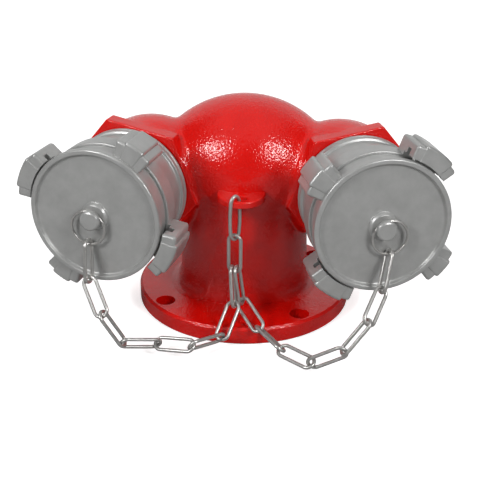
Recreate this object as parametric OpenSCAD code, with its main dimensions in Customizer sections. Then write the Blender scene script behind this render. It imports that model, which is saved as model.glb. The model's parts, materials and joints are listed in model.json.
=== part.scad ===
// Twin-inlet fire department connection: a cast siamese body on a bolted flange,
// two bayonet hose couplings with caps, two swing clappers and the cap chains.
// Millimetres. The origin is the centre of the flange's bottom face, +Z is up
// and the two inlets face -Y.

/* [Base flange] */
// Diameter of the base flange
flange_d = 192; // [188:1:210]
// Thickness of the base flange
flange_t = 15; // [12:1:22]
// Diameter of the circle through the bolt holes
bolt_circle_d = 168; // [160:1:170]
// Diameter of each bolt hole
bolt_d = 17; // [12:1:18]
// Number of bolt holes
bolt_count = 4; // [3:1:8]
// Turn of the bolt pattern from the diagonals, in degrees
bolt_turn = -7; // [-15:1:15]

/* [Body] */
// Outer diameter of the neck above the flange
neck_d = 110; // [106:1:116]
// Radius of the fillet between neck and flange
neck_fillet = 6; // [2:1:10]
// Wall of the casting
wall = 7; // [5:0.5:8]
// Diameter of the cross barrel at its middle
barrel_d = 116; // [112:1:120]
// Radius of the barrel's lengthwise curve
barrel_curve_r = 90; // [84:1:96]
// Height of the barrel's axis
barrel_z = 129; // [126:1:134]
// Distance of the barrel's axis behind the neck's centre
barrel_y = 3; // [2:1:8]
// Diameter of the round clapper chamber of each arm
ball_d = 104; // [102:1:108]
// Sideways place of each clapper chamber
ball_x = 78; // [76:1:80]
// Distance of each clapper chamber in front of the neck's centre
ball_front = 8; // [6:1:11]

/* [Inlets] */
// Sideways place of each inlet's root
inlet_x = 92; // [90:1:95]
// Distance of each inlet's root in front of the neck's centre
inlet_front = 20; // [17:1:23]
// Height of the inlet axes
inlet_z = 116; // [113:0.5:119]
// Outward turn of each inlet, in degrees
toe = 14.2; // [12:0.1:17]
// Diameter of the tube behind each hexagon
tube_d = 99; // [96:1:102]
// Diameter over the corners of the hexagon
hex_d = 120; // [118:1:126]
// Thickness of the hexagon
hex_t = 14; // [12:1:18]
// Turn of the hexagon's top corner outwards, in degrees
hex_turn = 20; // [15:0.5:30]
// Clear bore of an inlet
inlet_bore_d = 62; // [56:1:65]
// Diameter of the socket that takes the coupling's stub
socket_d = 75; // [72:1:78]

/* [Couplings] */
// Diameter of a coupling's flange
coupling_d = 109; // [107:0.5:110]
// Length of a coupling in front of the hexagon
coupling_l = 51.5; // [50:0.5:56]
// Diameter of the coupling's base ring
coupling_base_d = 102; // [100:1:104]
// Radius over the claws
claw_r = 71; // [69:0.5:74]
// Width of a coupling's claw round the rim, in degrees
coupling_claw_w = 35; // [32:1:40]
// Width of a cap's claw round the rim, in degrees
cap_claw_w = 26; // [24:1:32]
// Thickness of a cam lug
lug_t = 4.5; // [3.5:0.5:5]
// Turn of the left coupling's claws, in degrees
left_turn = 155; // [145:1:165]
// Turn of the right coupling's claws, in degrees
right_turn = 53; // [45:1:63]
// Turn of the left cap's claws, in degrees
left_cap_turn = 59; // [57:1:61]
// Turn of the right cap's claws, in degrees
right_cap_turn = -38; // [-42:1:-38]

/* [Caps] */
// Diameter of a cap's rim
cap_d = 111; // [109:0.5:112]
// Length of a cap behind its front face
cap_l = 21; // [19:0.5:26]
// Depth of the round recess in a cap's face
recess_t = 3; // [1:0.5:3.5]
// Width of the rim round the recess
rim_w = 5; // [4:0.5:8]
// Diameter of the knob's head
knob_d = 16.5; // [14:0.5:20]
// Thickness of the knob's head
knob_t = 6; // [4:0.5:8]
// Diameter of the collar below the knob
collar_d = 23; // [20:0.5:28]
// Diameter of the knob's neck
knob_neck_d = 6; // [5:0.5:8]

/* [Clappers] */
// Diameter of a clapper disc
clapper_d = 67; // [65:0.5:68]
// Thickness of a clapper disc
clapper_t = 6; // [5:0.5:7]
// Thickness of the rubber facing
facing_t = 2.5; // [2:0.5:4]
// Diameter of the hinge pin
pin_d = 5; // [4:0.5:5.5]

/* [Chains] */
// Wire of a chain link
link_wire = 3; // [2.5:0.1:3.2]
// Outer length of a chain link
link_l = 37; // [36:0.25:38]
// Outer width of a chain link
link_w = 13.5; // [13:0.5:15]
// Outer length of the long link in the ear
ear_link_l = 41; // [40:1:44]
// Wire of a cap's ring
ring_wire = 2.2; // [1.8:0.1:2.6]
// Outer diameter of a cap's ring
ring_d = 30.5; // [28:0.5:32]
// Turn of the left ring from straight down, in degrees
left_ring_turn = -27; // [-40:1:20]
// Turn of the right ring from straight down, in degrees
right_ring_turn = 32; // [-20:1:40]

/* [Ear] */
// Radius of the ear's half-round plate
ear_r = 20; // [18:1:22]
// Thickness of the ear
ear_t = 6; // [4:0.5:7]
// Diameter of the hole in the ear
ear_hole_d = 10; // [8:0.5:11]
// Height of the ear's top face
ear_z = 121.5; // [118:0.5:125]

/* [Hidden] */
$fn = 96;

eps = 0.01;              // overlap that keeps joined solids one piece
gap = 0.3;               // clearance between pieces that move past each other
link_play = 0.5;         // play at each end of a chain link
ring_lead = 1.2;         // how far a chain's first joint is in front of its ring
chain_lift = 1.2;        // how far a chain's last joint is above the common link's
run_gap = 0.06;          // radial running clearance of a hinge pin
pin_fit = 0.03;          // radial clearance of a hinge pin in its lugs

neck_r = neck_d / 2;
outlet_r = neck_r - wall - 1;
barrel_r = barrel_d / 2;
barrel_offset = barrel_curve_r - barrel_r;
ball_r = ball_d / 2;
ball_z = inlet_z + 0.5;
tube_r = tube_d / 2;
chamber_r = tube_r - wall;
tube_l = 20;             // straight length of the tube behind the hexagon
seat_z = -6;             // clapper seat, behind the hexagon's rear face
bore_r = inlet_bore_d / 2;

// Hinge pin of a clapper, above the bore and behind the seat
pin_y = bore_r + 6;
pin_z = seat_z - 5.5;
knuckle_r = pin_d / 2 + 1.7;
lug_in_x = 9;
lug_out_x = 14.5;
hub_r = 11;              // boss at the back of a clapper disc
hub_z = -26;             // rear face of that boss
screw_d = 8;             // screw that holds a clapper together
screw_fit = 0.2;         // clearance of that screw in its hole, in diameter
facing_hole_r = 12;      // hole in the middle of a facing
arm_w = 14;              // width of the arm from a clapper's disc to its pin
arm_t = 5;               // thickness of that arm
retainer_t = 1.5;        // plate that holds the facing on
face_clear = 2;          // room round the hexagon, cut free in front of its face

washer_t = 1.5;          // washer between hexagon and coupling
stub_fit = 0.1;          // radial clearance of a coupling's stub in its socket
base_ring_t = 8;         // thickness of a coupling's base ring
waist_d = coupling_base_d - 5;
stub_lead = 0.5;         // room behind that stub
head_start = 35.5;       // start of a coupling's wide head, in front of the hexagon
coupling_lug_z = 42;     // start of a coupling's lugs, in front of the hexagon
coupling_claw_z = 38;    // start of a coupling's claws, in front of the hexagon
cap_claw_z = 37;         // start of a cap's claws, in front of the hexagon
cap_lug_z = 5;           // start of a cap's lugs, in front of its rear face
coupling_claw_lead = 2;  // how far a coupling's claws end behind the cap's face
cap_claw_lead = 3;       // how far a cap's claws end behind its own face
claw_stop = 2;           // closed end of a cap's channel, in degrees
seal_in = bore_r + 9;    // groove of the face seals
seal_out = bore_r + 15;
seal_t = 4;
seal_fit = 0.1;          // radial clearance of a face seal in its groove
cap_rim_t = 6;           // thickness of a cap's wide rim
cap_skirt_drop = 6;      // how much narrower a cap is behind its rim, in diameter
cap_hollow_r = bore_r + 4;
cap_floor_t = 6;         // thickness of a cap's closed end
groove_r = 50;           // radius below the claws and lugs
claw_in_r = cap_d / 2 + 1.8;
claw_step = 4;           // drop of the low ends of a claw
claw_end = 6.5;          // width of each low end, in degrees
lug_r = claw_in_r + 4.5;
lug_clear = 0.5;         // clearance of a lug in its channel
engage = 94;             // turn from a piece's claws to its own lugs
lug_w = 16;              // width of a lug, in degrees

// Distances in front of the hexagon's rear face
hex_face = hex_t;
joint_z = hex_face + coupling_l;
cap_back = joint_z + gap;
rim_z = cap_back + cap_l;
recess_z = rim_z - recess_t;
collar_z = rim_z + 0.5;
ring_z = collar_z + 0.4 + ring_wire / 2;
head_z = ring_z + ring_wire / 2 + 0.4;

ring_r = (ring_d - ring_wire) / 2;
ring_hang = ring_r - ring_wire / 2 - knob_neck_d / 2 - 0.2;

link_pitch = link_l - 2 * link_wire - 2 * link_play;
ear_wall_y = barrel_y - barrel_r;
ear_centre_y = ear_wall_y - 3;
ear_hole_y = ear_centre_y - ear_r + ear_hole_d / 2 + 4;

// Unit vectors and points of an inlet's own frame: x across, y up, z along its axis
function across(s) = [cos(toe), s * sin(toe), 0];
function along(s) = [s * sin(toe), -cos(toe), 0];
function inlet_point(s, p) = [s * inlet_x, -inlet_front, inlet_z]
    + p.x * across(s) + p.y * [0, 0, 1] + p.z * along(s);

function unit(v) = v / norm(v);
function last(v) = v[len(v) - 1];
function reversed(v) = [for (i = [len(v) - 1:-1:0]) v[i]];
// Points moved one after another to the link pitch from the one before
function pulled(points, start, i = 0, done = []) =
    i == len(points) ? done
    : pulled(points, start, i + 1, concat(done, [i == 0 ? start
        : last(done) + link_pitch * unit(points[i] - last(done))]));
// A chain's joints: pulled from one end, then from the other, until both ends fit
function settled(points, start, end, rounds = 40) =
    rounds == 0 ? points
    : settled(pulled(reversed(pulled(reversed(points), end)), start), start, end, rounds - 1);

// Lower end of the common link, where both chains hang side by side
ear_link_top = [-4, ear_hole_y - 5.5, ear_z + 2.2];
common_top = ear_link_top - [0, 0, ear_link_l - 2 * link_wire - link_play];
common_bottom = common_top - [0, 0, link_pitch];

chain_spread = link_wire / 2 + 0.4;

// Hand-laid joints of the two chains, from the cap to the common link. Those in front of the
// flange keep their distance from its front edge
front = -flange_d / 2;
left_route = [[-118.5, -106, 95], [-117, -116.5, 64.5], [-104.5, -130.5, 42.5],
    [-88, front - 34, 17.5], [-64, front - 21, 11], [-35, front - 29.5, 15],
    [-13, front - 10.5, 11], [-3.5, -85.5, 33], [-6, -74.5, 60.5]];
right_route = [[119, -106, 95.5], [114, -119, 68], [101.5, -141.5, 50],
    [85, front - 50, 28], [62.5, front - 45, 12], [38.5, front - 27, 12.5],
    [20, front - 5.5, 17], [2.5, -77, 29], [-2, -74.5, 60.5]];
function ring_centre(s, turn) =
    inlet_point(s, ring_hang * [sin(turn), -cos(turn), 0] + [0, 0, ring_z]);
function chain_start(s, turn) = ring_centre(s, turn) - [0, 0, ring_r - ring_wire / 2 - 1]
    + ring_lead * along(s);
left_joints = settled(left_route, chain_start(-1, left_ring_turn),
    common_bottom + [-chain_spread, 0, chain_lift]);
right_joints = settled(right_route, chain_start(1, right_ring_turn),
    common_bottom + [chain_spread, 0, chain_lift]);
// Direction in which each link is wide
left_faces = [[0.2, 0.6, -0.1], [0.9, 0, 0.3], [0.1, 1, 0.1], [0.6, -0.1, 0.6],
    [0.3, 0.8, 0.7], [-0.2, -0.5, 0.5], [0.6, -0.3, -0.1], [0.3, 1, -0.5]];
right_faces = [[-0.5, 1, -0.6], [0.7, 0.1, -0.7], [-0.1, 0.9, 0.1], [-0.3, -0.1, 0.6],
    [0.8, 0.6, 0.5], [-1, -0.2, 0.8], [0.9, 0.3, 0.8], [0.2, 0.7, 0.1]];

red = "#c8100c";
grey = "#8f918d";
dark = "#242424";
steel = "#c4c2bf";
brass = "#b08d4a";

// Places children in the frame of the left (-1) or right (1) inlet
module inlet(s)
    translate([s * inlet_x, -inlet_front, inlet_z]) rotate([0, 0, s * toe]) rotate([90, 0, 0])
        children();

// Part of a ring: radii r1 to r2, heights z1 to z2, w degrees wide about angle 0
module arc_block(r1, r2, z1, z2, w)
    rotate([0, 0, -w / 2]) rotate_extrude(angle = w)
        translate([r1, z1]) square([r2 - r1, z2 - z1]);

module ring_block(r1, r2, z1, z2)
    translate([0, 0, z1]) difference() {
        cylinder(r = r2, h = z2 - z1);
        translate([0, 0, -1]) cylinder(r = r1, h = z2 - z1 + 2);
    }

// Spindle-shaped barrel along X, smaller all over by shrink
module barrel(shrink)
    translate([0, barrel_y, barrel_z]) rotate([0, 90, 0]) rotate_extrude()
        intersection() {
            translate([-barrel_offset, 0]) circle(r = barrel_curve_r - shrink, $fn = 180);
            translate([0, -barrel_curve_r]) square([barrel_r + 1, 2 * barrel_curve_r]);
        }

module flange()
    rotate_extrude() {
        polygon([[0, 0], [flange_d / 2 - 1, 0], [flange_d / 2, 1], [flange_d / 2, flange_t - 2],
            [flange_d / 2 - 2, flange_t], [0, flange_t]]);
        translate([0, flange_t - eps]) difference() {
            square(neck_r + neck_fillet);
            translate([neck_r + neck_fillet, neck_fillet]) circle(r = neck_fillet);
            translate([neck_r, neck_fillet]) square(2 * neck_r);
        }
    }

// Tube of radius r along an inlet's axis up to z, round at its rear end
module round_tube(r, z)
    translate([0, 0, -tube_l]) rotate_extrude() {
        square([r, tube_l + z]);
        intersection() {
            circle(r = r);
            translate([0, -r - 1]) square([r + 1, r + 1 + eps]);
        }
    }

module arm_outer(s) {
    translate([s * ball_x, -ball_front, ball_z]) rotate([90, 0, 0]) sphere(r = ball_r);
    inlet(s) {
        round_tube(tube_r, hex_t / 2);
        rotate([0, 0, 90 - s * hex_turn]) cylinder(r = hex_d / 2, h = hex_t, $fn = 6);
    }
}

module arm_inner(s) {
    translate([s * ball_x, -ball_front, ball_z]) rotate([90, 0, 0]) sphere(r = ball_r - wall);
    inlet(s) {
        round_tube(chamber_r, seat_z);
        translate([0, 0, seat_z - 1]) cylinder(r = bore_r, h = hex_t - seat_z + 2);
        cylinder(r = socket_d / 2, h = hex_t + 1);
    }
}

// Two lugs in the clapper chamber's roof, left standing when the chamber is cut
module pin_lugs()
    for (m = [0, 1]) mirror([m, 0, 0]) {
        translate([lug_in_x, pin_y, pin_z]) rotate([0, 90, 0])
            cylinder(r = knuckle_r, h = lug_out_x - lug_in_x);
        translate([lug_in_x, pin_y, pin_z - knuckle_r])
            cube([lug_out_x - lug_in_x, tube_r - 2 - pin_y, 2 * knuckle_r]);
    }

module ear_plate()
    difference() {
        translate([0, ear_centre_y, ear_z - ear_t]) cylinder(r = ear_r, h = ear_t);
        translate([-ear_r - 1, ear_wall_y + wall / 2, ear_z - ear_t - 1])
            cube([2 * ear_r + 2, 2 * ear_r, ear_t + 2]);
    }

module body_casting() color(red) {
    difference() {
        union() {
            flange();
            cylinder(r = neck_r, h = barrel_z);
            barrel(0);
            for (s = [-1, 1]) arm_outer(s);
            ear_plate();
        }
        translate([0, 0, -1]) cylinder(r = outlet_r, h = barrel_z + 1);
        barrel(wall);
        for (s = [-1, 1]) {
            inlet(s) translate([0, 0, hex_t]) cylinder(r = hex_d / 2 + face_clear, h = ball_r);
            difference() {
                arm_inner(s);
                inlet(s) pin_lugs();
            }
            inlet(s) translate([-lug_out_x, pin_y, pin_z]) rotate([0, 90, 0])
                cylinder(r = pin_d / 2 + pin_fit, h = 2 * lug_out_x);
        }
        for (i = [0:bolt_count - 1])
            rotate([0, 0, 45 + bolt_turn + i * 360 / bolt_count])
                translate([bolt_circle_d / 2, 0, -1]) cylinder(d = bolt_d, h = flange_t + 2);
        translate([0, ear_hole_y, ear_z - ear_t - 1]) cylinder(d = ear_hole_d, h = ear_t + 2);
    }
}

// Hooked claw of width w, from z1 to z2, with its channel from c1 to c2
module claw(w, z1, z2, c1, c2, closed)
    difference() {
        union() {
            arc_block(claw_in_r, claw_r, z1, z2, w - 2 * claw_end);
            arc_block(claw_in_r, claw_r - claw_step, z1, z2, w);
        }
        rotate([0, 0, -closed]) arc_block(claw_in_r - 1, lug_r + lug_clear, c1, c2, w + eps);
    }

module inlet_coupling(s, turn) color(grey) inlet(s) {
    lug_z = hex_face + coupling_lug_z;
    channel_z = cap_back + cap_lug_z;
    difference() {
        union() {
            translate([0, 0, stub_lead]) cylinder(r = socket_d / 2 - stub_fit, h = hex_face + washer_t);
            translate([0, 0, hex_face + washer_t]) {
                cylinder(d = coupling_base_d, h = base_ring_t);
                cylinder(d = waist_d, h = head_start);
            }
            translate([0, 0, hex_face + head_start]) cylinder(d = coupling_d, h = coupling_l - head_start);
            for (k = [0, 180]) rotate([0, 0, turn + k]) {
                claw(coupling_claw_w, hex_face + coupling_claw_z, rim_z - coupling_claw_lead,
                    channel_z - lug_clear, channel_z + lug_t + lug_clear, 0);
                arc_block(groove_r, claw_in_r + 1, hex_face + coupling_claw_z, joint_z,
                    coupling_claw_w);
                rotate([0, 0, -engage]) arc_block(groove_r, lug_r, lug_z, lug_z + lug_t, lug_w);
            }
        }
        translate([0, 0, -1]) cylinder(r = bore_r, h = joint_z + 2);
        ring_block(seal_in, seal_out, joint_z - seal_t, joint_z + 1);
    }
}

module coupling_washer(s) color(dark) inlet(s)
    ring_block(socket_d / 2 + 2 * stub_fit, coupling_base_d / 2 - 1, hex_face, hex_face + washer_t);

// Face seal in a groove that starts at height z
module face_seal(z)
    ring_block(seal_in + seal_fit, seal_out - seal_fit, z, z + seal_t);

module coupling_seal(s) color(dark) inlet(s) face_seal(joint_z - seal_t);

module cap_seal(s) color(dark) inlet(s) face_seal(cap_back);

module cap(s, turn) color(grey) inlet(s) {
    lug_z = cap_back + cap_lug_z;
    channel_z = hex_face + coupling_lug_z;
    claw_z2 = rim_z - cap_claw_lead;
    difference() {
        union() {
            translate([0, 0, cap_back]) cylinder(d = cap_d - cap_skirt_drop, h = cap_l - cap_rim_t + 2);
            translate([0, 0, rim_z - cap_rim_t]) cylinder(d = cap_d, h = cap_rim_t);
            for (k = [0, 180]) rotate([0, 0, turn + k]) {
                claw(cap_claw_w, hex_face + cap_claw_z, claw_z2, channel_z - lug_clear,
                    channel_z + lug_t + lug_clear, claw_stop);
                arc_block(groove_r, claw_in_r + 1, cap_back, claw_z2, cap_claw_w);
                rotate([0, 0, engage]) arc_block(groove_r, lug_r, lug_z, lug_z + lug_t, lug_w);
            }
        }
        translate([0, 0, recess_z]) cylinder(r = cap_d / 2 - rim_w, h = recess_t + 1);
        translate([0, 0, cap_back - 1]) cylinder(r = cap_hollow_r, h = cap_l - recess_t - cap_floor_t);
        ring_block(seal_in, seal_out, cap_back - 1, cap_back + seal_t);
    }
    translate([0, 0, recess_z - eps]) cylinder(d = collar_d, h = collar_z - recess_z + eps);
    translate([0, 0, recess_z]) cylinder(d = knob_neck_d, h = head_z - recess_z + 1);
    translate([0, 0, head_z]) rotate_extrude()
        polygon([[0, 0], [knob_d / 2, 0], [knob_d / 2, knob_t - 1], [knob_d / 2 - 1, knob_t],
            [0, knob_t]]);
}

module cap_ring(s, turn) color(steel)
    translate(ring_centre(s, turn)) rotate([0, 0, s * toe]) rotate([90, 0, 0])
        rotate_extrude() translate([ring_r, 0]) circle(d = ring_wire, $fn = 24);

module clapper(s) color(brass) inlet(s) {
    difference() {
        union() {
            translate([0, 0, seat_z - gap - facing_t - clapper_t])
                cylinder(d = clapper_d, h = clapper_t);
            translate([0, 0, hub_z]) cylinder(r = hub_r, h = -hub_z - facing_t - clapper_t - 2);
            translate([-arm_w / 2, 0, pin_z - arm_t - 1.5]) cube([arm_w, pin_y, arm_t]);
            translate([-lug_in_x + gap, pin_y, pin_z]) rotate([0, 90, 0])
                cylinder(r = knuckle_r, h = 2 * (lug_in_x - gap));
        }
        translate([-lug_in_x - 1, pin_y, pin_z]) rotate([0, 90, 0])
            cylinder(r = pin_d / 2 + run_gap, h = 2 * lug_in_x + 2);
        translate([0, 0, hub_z - 1]) cylinder(d = screw_d + screw_fit, h = -hub_z);
    }
}

module clapper_facing(s) color(dark) inlet(s)
    ring_block(facing_hole_r, clapper_d / 2 - 1.5, seat_z - gap - facing_t, seat_z - gap);

module clapper_retainer(s) color(brass) inlet(s)
    difference() {
        union() {
            translate([0, 0, seat_z - gap]) cylinder(r = bore_r - 9, h = retainer_t);
            translate([0, 0, seat_z - gap - facing_t])
                cylinder(r = facing_hole_r - screw_fit, h = facing_t + 1);
        }
        translate([0, 0, seat_z - gap - facing_t - 1])
            cylinder(d = screw_d + screw_fit, h = facing_t + 4);
    }

module clapper_screw(s) color(brass) inlet(s) {
    translate([0, 0, hub_z + 1]) cylinder(d = screw_d, h = seat_z - gap + 2 - hub_z);
    translate([0, 0, seat_z - gap + retainer_t]) cylinder(r = screw_d - 0.5, h = screw_d / 2, $fn = 6);
}

module clapper_pin(s) color(steel) inlet(s)
    translate([-lug_out_x, pin_y, pin_z]) rotate([0, 90, 0])
        cylinder(d = pin_d, h = 2 * lug_out_x);

// One link of outer length l and width w, along X, wide along Y, centred
module chain_link(l, w) {
    bend_r = (w - link_wire) / 2;
    straight = l - w;
    for (m = [0, 1]) mirror([m, 0, 0]) translate([straight / 2, 0, 0]) rotate([0, 0, -90])
        rotate_extrude(angle = 180) translate([bend_r, 0]) circle(d = link_wire, $fn = 24);
    for (m = [-1, 1]) translate([-straight / 2 - eps, m * bend_r, 0]) rotate([0, 90, 0])
        cylinder(d = link_wire, h = straight + 2 * eps, $fn = 24);
}

// Places a link between two joints a and b, wide towards face
module link_between(a, b, face, l = link_l, w = link_w) {
    x = unit(b - a);
    z = unit(cross(x, face));
    y = cross(z, x);
    m = (a + b) / 2;
    multmatrix([[x.x, y.x, z.x, m.x], [x.y, y.y, z.y, m.y], [x.z, y.z, z.z, m.z], [0, 0, 0, 1]])
        chain_link(l, w);
}

module ear_link() color(steel)
    link_between(ear_link_top, common_top, [-1, -1, 0], ear_link_l);

module common_link() color(steel)
    link_between(common_top, common_bottom, [1, -0.27, 0]);

module left_link(i) color(steel)
    link_between(left_joints[i - 1], left_joints[i], left_faces[i - 1]);

module right_link(i) color(steel)
    link_between(right_joints[i - 1], right_joints[i], right_faces[i - 1]);

body_casting();
for (s = [-1, 1]) {
    name = s < 0 ? "left_" : "right_";
    turn = s < 0 ? left_turn : right_turn;
    cap_turn = s < 0 ? left_cap_turn : right_cap_turn;
    ring_turn = s < 0 ? left_ring_turn : right_ring_turn;
    inlet_coupling(s, turn);
    coupling_washer(s);
    coupling_seal(s);
    cap(s, cap_turn);
    cap_seal(s);
    cap_ring(s, ring_turn);
    clapper(s);
    clapper_facing(s);
    clapper_retainer(s);
    clapper_screw(s);
    clapper_pin(s);
}
ear_link();
common_link();
for (i = [1:8]) {
    left_link(i);
    right_link(i);
}
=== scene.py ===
# %% [markdown]
# # A fire department connection
# A fire crew pumps water into a building through this casting. Two hose inlets stand side by
# side on a round body, each closed by a cap with two hooked claws, and the caps hang on chains
# so that nobody loses them. The CAD model gives every size. Here the same object gets its cast
# look: blended corners, rounded edges, paint, satin metal and bright wire.

# %% The CAD model as a fixed frame
import json
import math
import bmesh
import bpy
import numpy as np
from mathutils import Matrix, Vector


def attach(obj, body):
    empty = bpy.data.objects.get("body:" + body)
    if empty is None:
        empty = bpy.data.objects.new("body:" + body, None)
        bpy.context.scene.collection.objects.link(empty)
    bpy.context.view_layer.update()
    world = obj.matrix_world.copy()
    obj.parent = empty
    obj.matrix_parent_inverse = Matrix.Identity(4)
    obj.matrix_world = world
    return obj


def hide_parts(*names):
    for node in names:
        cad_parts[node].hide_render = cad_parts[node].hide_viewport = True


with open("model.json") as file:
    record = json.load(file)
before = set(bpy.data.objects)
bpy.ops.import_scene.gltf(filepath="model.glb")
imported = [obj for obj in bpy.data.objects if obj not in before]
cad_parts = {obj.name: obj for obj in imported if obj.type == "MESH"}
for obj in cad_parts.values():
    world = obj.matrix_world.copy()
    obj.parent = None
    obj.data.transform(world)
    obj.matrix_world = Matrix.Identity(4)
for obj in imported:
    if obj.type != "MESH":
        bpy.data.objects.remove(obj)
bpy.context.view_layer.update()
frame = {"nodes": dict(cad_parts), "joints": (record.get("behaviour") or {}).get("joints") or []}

SIDES = {"left": -1, "right": 1}
MM = 0.001


# %% [markdown]
# ## The camera
# The object is seen from a little above, slightly from the right, as on a product page. A long
# lens keeps the two caps from looking swollen. The camera is turned by its three axes, written
# out as the columns of a matrix, because that states the view exactly.

# %% Camera
TURN, RISE, ROLL = (math.radians(a) for a in (3.4, 25.2, 0.55))
back = Vector((math.sin(TURN) * math.cos(RISE), -math.cos(TURN) * math.cos(RISE), math.sin(RISE)))
level = (-back).cross(Vector((0, 0, 1))).normalized()
upright = level.cross(-back)
place = Vector((0, 0, 51.9)) + level * -4.1 + back * 821.8
rolled = level * math.cos(ROLL) + upright * math.sin(ROLL)
raised = upright * math.cos(ROLL) - level * math.sin(ROLL)
camera = bpy.data.objects.new("camera", bpy.data.cameras.new("camera"))
camera.data.lens, camera.data.sensor_width = 67.5, 36
camera.matrix_world = Matrix((rolled, raised, back)).transposed().to_4x4()
camera.matrix_world.translation = place * MM
bpy.context.scene.collection.objects.link(camera)
bpy.context.scene.camera = camera
print("camera at", [round(v, 3) for v in place * MM])


# %% [markdown]
# ## Writing node trees as sums
# Paint and cast metal need noise, masks and small bumps, and the body's shape below needs
# distances. Both are node trees. One small class wraps a socket and turns + - * / into Math
# nodes, and one method adds any other node, so that a tree reads like a formula.

# %% Node helpers
class Value:
    """A socket that can stand in a sum."""

    def __init__(self, sheet, socket):
        self.sheet, self.socket = sheet, socket

    def maths(self, operation, *others):
        return self.sheet.add("ShaderNodeMath", {"operation": operation},
                              {i: v for i, v in enumerate((self, *others))})

    def __add__(self, other):
        return self.maths("ADD", other)

    def __sub__(self, other):
        return self.maths("SUBTRACT", other)

    def __mul__(self, other):
        return self.maths("MULTIPLY", other)

    def __truediv__(self, other):
        return self.maths("DIVIDE", other)

    def __pow__(self, other):
        return self.maths("POWER", other)

    def __neg__(self):
        return self.maths("MULTIPLY", -1.0)

    def __rsub__(self, other):
        return (-self) + other

    __radd__, __rmul__ = __add__, __mul__


class Sheet:
    """A node tree that is being written."""

    def __init__(self, tree):
        self.tree = tree

    def add(self, kind, settings=None, values=None, out=0):
        node = self.tree.nodes.new(kind)
        for name, setting in (settings or {}).items():
            if name == "stops":
                ramp = node.color_ramp.elements
                while len(ramp) < len(setting):
                    ramp.new(0.5)
                for stop, (position, colour) in zip(ramp, setting):
                    stop.position, stop.color = position, colour
            else:
                setattr(node, name, setting)
        for key, value in (values or {}).items():
            socket = node.inputs[key]
            if isinstance(value, Value):
                self.tree.links.new(value.socket, socket)
            else:
                socket.default_value = value
        return Value(self, node.outputs[out])

    def parts(self, kind, values=None):
        """A node with several outputs, as a list of values."""
        node = self.add(kind, {}, values).socket.node
        return [Value(self, socket) for socket in node.outputs]

    def end(self, kind, name, value):
        """Links the last value to the tree's output node."""
        node = self.tree.nodes.new(kind)
        self.tree.links.new(value.socket, node.inputs[name])


# %% [markdown]
# ## Finishes
# Every finish is worked out from Object coordinates, so it sits still on the metal whatever the
# camera does. The helper below starts a material with a Principled shader. Values that are the
# same all over go straight onto its sockets.

# %% Material helpers
def empty_material(name):
    material = bpy.data.materials.new(name)
    material.use_nodes = True
    material.node_tree.nodes.clear()
    return material, Sheet(material.node_tree)


def finish(name, constants, varying):
    """A material: constants go on the shader's sockets, varying(sheet, where) links the rest."""
    material, sheet = empty_material(name)
    where = sheet.add("ShaderNodeTexCoord", out="Object")
    shader = sheet.add("ShaderNodeBsdfPrincipled", {}, {**constants, **varying(sheet, where)})
    sheet.end("ShaderNodeOutputMaterial", "Surface", shader)
    print("finish", name, "has", len(material.node_tree.nodes), "nodes")
    return material


def noise(sheet, where, size_mm, detail=2.0, rough=0.5):
    """Noise whose blotches are about size_mm across, as a number from 0 to 1."""
    return sheet.add("ShaderNodeTexNoise", {},
                     {"Vector": where, "Scale": 1 / (size_mm * MM), "Detail": detail,
                      "Roughness": rough}, out="Fac")


def band(sheet, value, low, high):
    """0 below low, 1 above high, straight in between."""
    return sheet.add("ShaderNodeMapRange", {"clamp": True},
                     {"Value": value, "From Min": low, "From Max": high})


def mix(sheet, share, a, b):
    """A colour between a and b."""
    return sheet.add("ShaderNodeMix", {"data_type": "RGBA"},
                     {0: share, 6: a, 7: b}, out=2)


def bump(sheet, height, distance_mm):
    """A normal disturbed by a height from 0 to 1 that stands for distance_mm."""
    return sheet.add("ShaderNodeBump", {},
                     {"Height": height, "Distance": distance_mm * MM, "Strength": 1.0})


# %% [markdown]
# ### Red paint
# The body is cast in sand and painted with a thick gloss enamel. The sand leaves a grain of
# one or two millimetres and soft lumps a few millimetres across. The enamel flows over them, so
# highlights break into bright specks while the gloss stays sharp. Two sizes of noise feed the
# bump, and a third varies the gloss and lets the colour run a little darker in patches.

# %% Red paint
def red_varying(sheet, where):
    sand = noise(sheet, where, 1.6, 1.0)
    lumps = noise(sheet, where, 6.0, 1.0)
    patches = band(sheet, noise(sheet, where, 26.0, 3.0), 0.3, 0.7)
    tone = mix(sheet, patches, (0.64, 0.0030, 0.0012, 1), (0.74, 0.0050, 0.0020, 1))
    relief = bump(sheet, sand * 0.56 + lumps * 0.44, 0.7)
    return {"Base Color": tone, "Roughness": 0.15 + 0.05 * patches, "Normal": relief}


red_paint = finish("red_paint", {"Metallic": 0.0, "IOR": 1.5, "Specular IOR Level": 0.7},
                   red_varying)


# %% [markdown]
# ### Cast aluminium
# The couplings and caps are satin castings. Their skin is a fine even grain with faint darker
# clouds, and the reflections are wide and soft. The grain is a small bump, and the clouds shift
# both colour and roughness a little.

# %% Cast aluminium
def aluminium_varying(sheet, where):
    grain = noise(sheet, where, 0.7, 3.0, 0.6)
    clouds = band(sheet, noise(sheet, where, 14.0, 4.0, 0.6), 0.3, 0.7)
    dents = noise(sheet, where, 5.0, 2.0)
    tone = mix(sheet, clouds, (0.40, 0.402, 0.394, 1), (0.475, 0.477, 0.469, 1))
    relief = bump(sheet, grain * 0.35 + dents * 0.65, 0.16)
    return {"Base Color": tone, "Roughness": 0.28 + 0.12 * clouds, "Normal": relief}


cast_aluminium = finish("cast_aluminium", {"Metallic": 0.45}, aluminium_varying)


# %% [markdown]
# ### Bright steel wire
# The links are bent from drawn wire and zinc plated. Plating is bright but never a mirror: it
# clouds a little and keeps fine drawing marks.

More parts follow.
